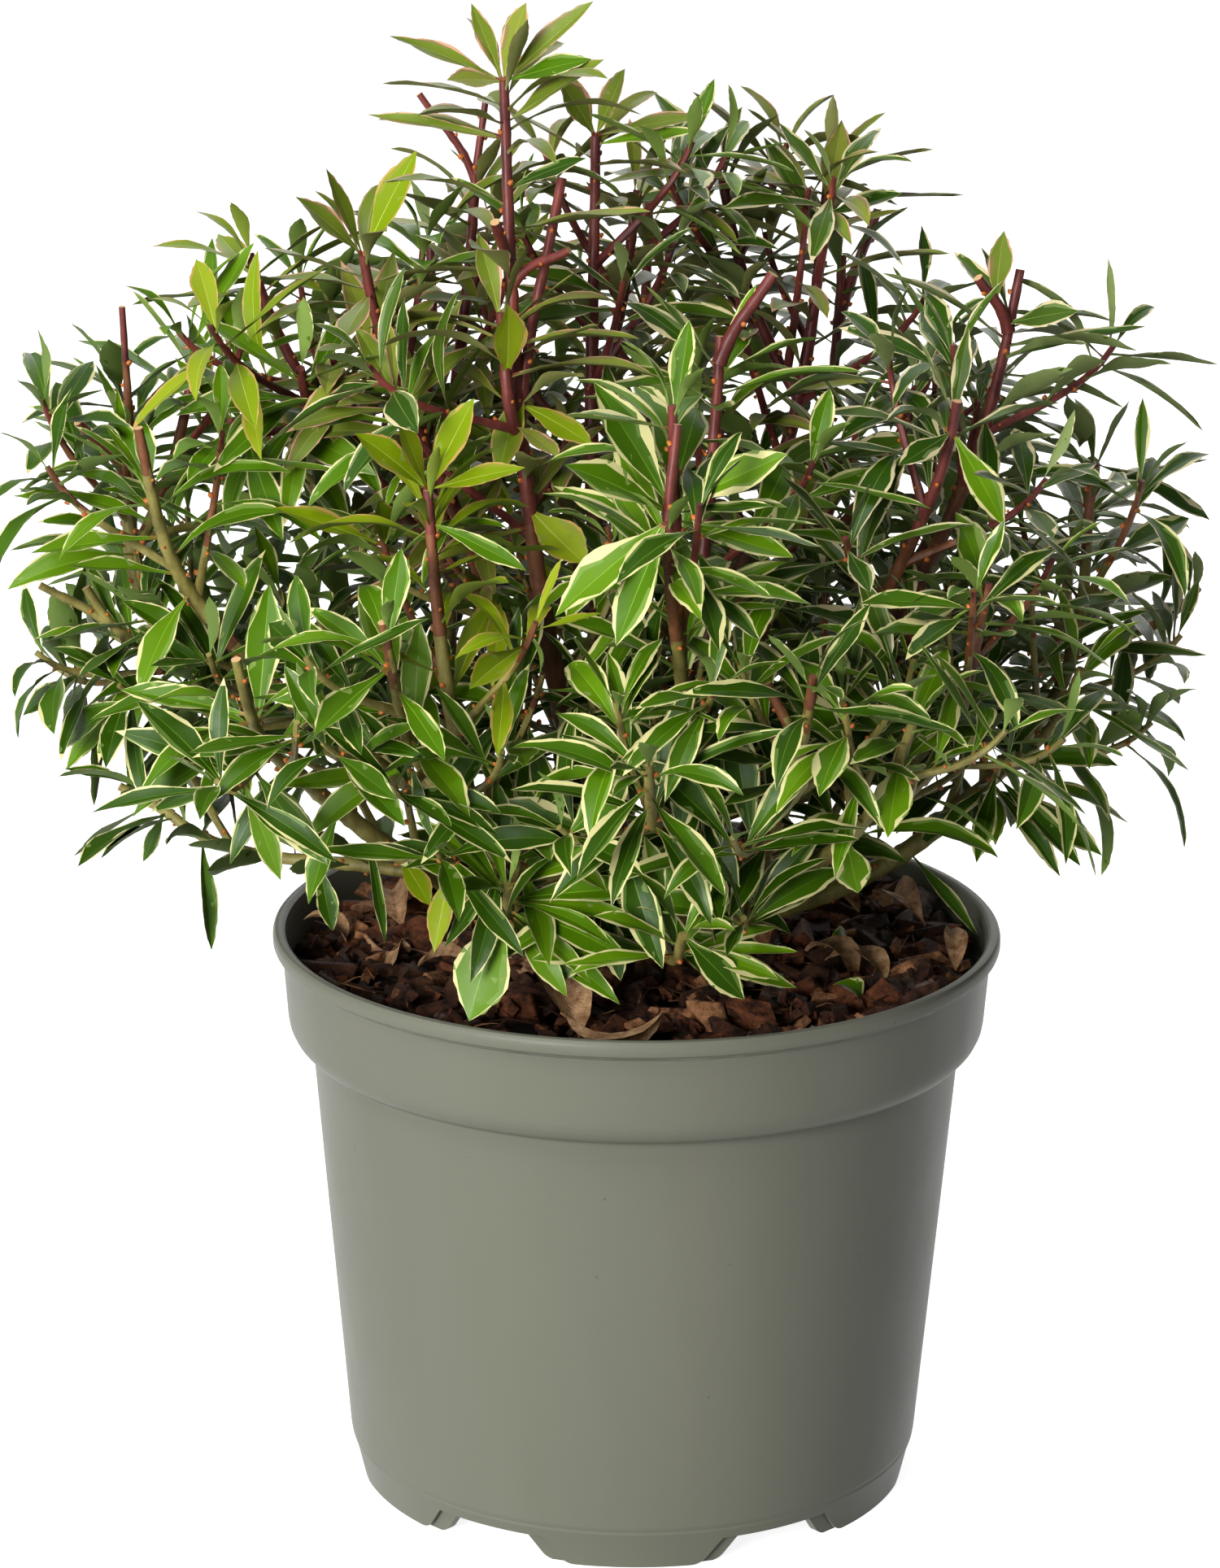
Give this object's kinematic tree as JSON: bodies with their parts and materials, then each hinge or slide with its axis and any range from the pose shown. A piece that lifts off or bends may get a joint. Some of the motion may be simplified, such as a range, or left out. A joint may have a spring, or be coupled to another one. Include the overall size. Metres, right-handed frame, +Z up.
{
  "type": "potted variegated pieris shrub",
  "caption": "Low, bushy evergreen shrub with narrow cream-edged leaves on upright reddish shoots, growing in bark mulch in a round grey-green nursery pot.",
  "frame": {"origin": "centre of the pot's underside, on the pot's axis, at the height of the surface it stands on", "axes": "+Z up along the pot's axis; the side seen in the picture faces -Y, with +X to its right"},
  "size_m": [0.313, 0.2865, 0.3909],
  "materials": {
    "pot_plastic": "satin moulded polypropylene, grey-green",
    "bark_mulch": "dark red-brown chipped bark over growing medium",
    "stem_bark": "smooth young bark, olive low down and red-brown above",
    "leaf_green": "waxy green leaf with a cream edge"
  },
  "bodies": {
    "root": {"back_bough": "stem_bark", "back_foliage": "leaf_green", "back_left_bough": "stem_bark", "back_left_foliage": "leaf_green", "back_left_top_foliage": "leaf_green", "back_low_left_foliage": "leaf_green", "back_low_right_foliage": "leaf_green", "back_right_bough": "stem_bark", "back_right_foliage": "leaf_green", "back_right_top_foliage": "leaf_green", "back_top_foliage": "leaf_green", "centre_bough": "stem_bark", "centre_foliage": "leaf_green", "front_bough": "stem_bark", "front_foot_foliage": "leaf_green", "front_right_foliage": "leaf_green", "growing_medium": "bark_mulch", "leader_bough": "stem_bark", "leader_foliage": "leaf_green", "left_back_bough": "stem_bark", "left_back_foliage": "leaf_green", "left_bottom_foliage": "leaf_green", "left_crown_foliage": "leaf_green", "left_far_bough": "stem_bark", "left_far_foliage": "leaf_green", "left_front_bough": "stem_bark", "left_front_foliage": "leaf_green", "left_high_bough": "stem_bark", "left_lime_bough": "stem_bark", "left_outer_foliage": "leaf_green", "left_slope_foliage": "leaf_green", "left_top_foliage": "leaf_green", "left_upper_foliage": "leaf_green", "left_upright_bough": "stem_bark", "lime_foliage": "leaf_green", "lime_front_foliage": "leaf_green", "low_front_bough": "stem_bark", "low_left_foliage": "leaf_green", "low_right_foliage": "leaf_green", "low_rosette_foliage": "leaf_green", "middle_bough": "stem_bark", "middle_top_foliage": "leaf_green", "pot": "pot_plastic", "right_back_bough": "stem_bark", "right_back_foliage": "leaf_green", "right_crown_bough": "stem_bark", "right_crown_foliage": "leaf_green", "right_far_foliage": "leaf_green", "right_front_bough": "stem_bark", "right_front_foliage": "leaf_green", "right_inner_foliage": "leaf_green", "right_low_bough": "stem_bark", "right_low_foliage": "leaf_green", "right_middle_foliage": "leaf_green", "right_top_foliage": "leaf_green", "right_upright_bough": "stem_bark", "root_crown": "stem_bark", "rosette_foliage": "leaf_green"}
  },
  "joints": []
}
